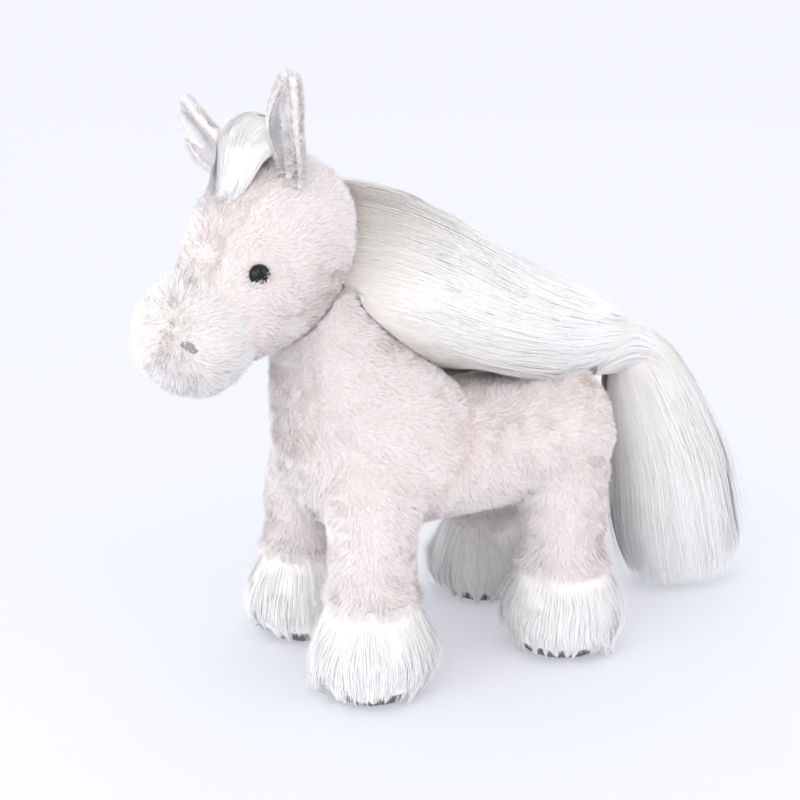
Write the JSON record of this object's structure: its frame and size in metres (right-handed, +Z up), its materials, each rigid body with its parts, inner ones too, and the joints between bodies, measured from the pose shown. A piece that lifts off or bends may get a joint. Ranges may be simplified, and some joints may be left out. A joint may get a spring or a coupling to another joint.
{
  "type": "plush horse",
  "caption": "Standing plush horse with a stuffed short-pile body, long-pile mane, tail and fetlock cuffs, folding ears and a hinged tail.",
  "frame": {"origin": "on the floor, under the middle of the whole animal's bounding box", "axes": "+Z is up, -Y is the way the body faces, +X is the animal's left side"},
  "size_m": [0.166, 0.3944, 0.3328],
  "materials": {
    "short_plush": "short pale blush plush pile",
    "muzzle_plush": "white fluffier plush pile",
    "long_pile": "long silky white pile",
    "ear_plush": "short white plush pile",
    "ear_lining": "grey velour with a fine nap",
    "sole_plush": "grey short plush",
    "nostril_thread": "grey satin stitch",
    "eye": "glossy black",
    "washer": "white moulded plastic",
    "stuffing": "white polyester fibre fill",
    "pouch_cloth": "woven pouch filled with pellets",
    "sole_board": "stiff fibre board",
    "tape": "woven cotton tape"
  },
  "bodies": {
    "base": {"head_skin": "short_plush", "muzzle_skin": "muzzle_plush", "neck_and_shoulder_skin": "short_plush", "barrel_skin": "short_plush", "front_left_leg_skin": "short_plush", "front_right_leg_skin": "short_plush", "hind_left_leg_skin": "short_plush", "hind_right_leg_skin": "short_plush", "front_left_cuff": "long_pile", "front_right_cuff": "long_pile", "hind_left_cuff": "long_pile", "hind_right_cuff": "long_pile", "front_left_sole": "sole_plush", "front_right_sole": "sole_plush", "hind_left_sole": "sole_plush", "hind_right_sole": "sole_plush", "front_left_sole_board": "sole_board", "front_right_sole_board": "sole_board", "hind_left_sole_board": "sole_board", "hind_right_sole_board": "sole_board", "front_left_pellet_pouch": "pouch_cloth", "front_right_pellet_pouch": "pouch_cloth", "hind_left_pellet_pouch": "pouch_cloth", "hind_right_pellet_pouch": "pouch_cloth", "head_stuffing": "stuffing", "neck_and_shoulder_stuffing": "stuffing", "barrel_stuffing": "stuffing", "front_left_leg_stuffing": "stuffing", "front_right_leg_stuffing": "stuffing", "hind_left_leg_stuffing": "stuffing", "hind_right_leg_stuffing": "stuffing", "left_eye": "eye", "right_eye": "eye", "left_eye_washer": "washer", "right_eye_washer": "washer", "left_nostril": "nostril_thread", "right_nostril": "nostril_thread", "forelock": "long_pile", "mane": "long_pile"},
    "ear_left": {"ear_back_left": "ear_plush", "ear_lining_left": "ear_lining"},
    "ear_right": {"ear_back_right": "ear_plush", "ear_lining_right": "ear_lining"},
    "tail_tape": {"tail_tape": "tape"},
    "tail": {"tail": "long_pile"}
  },
  "joints": [
    {"name": "ear_left_fold", "type": "hinge", "parent": "base", "child": "ear_left", "pos_m": [0.03022, -0.12166, 0.28362], "axis": [0.699, 0.4772, -0.5327], "range_deg": [-45, 25], "stiffness_Nm_per_rad": 0.02},
    {"name": "ear_right_fold", "type": "hinge", "parent": "base", "child": "ear_right", "pos_m": [-0.02385, -0.13315, 0.27976], "axis": [0.7527, -0.1686, 0.6364], "range_deg": [-45, 25], "stiffness_Nm_per_rad": 0.02},
    {"name": "tail_lift", "type": "hinge", "parent": "base", "child": "tail_tape", "pos_m": [0, 0.0759, 0.14572], "axis": [1, 0, 0], "range_deg": [0, 45]},
    {"name": "tail_swing", "type": "hinge", "parent": "tail_tape", "child": "tail", "pos_m": [0, 0.08872, 0.15312], "axis": [0, 0, 1], "range_deg": [-35, 35], "stiffness_Nm_per_rad": 0.05}
  ]
}
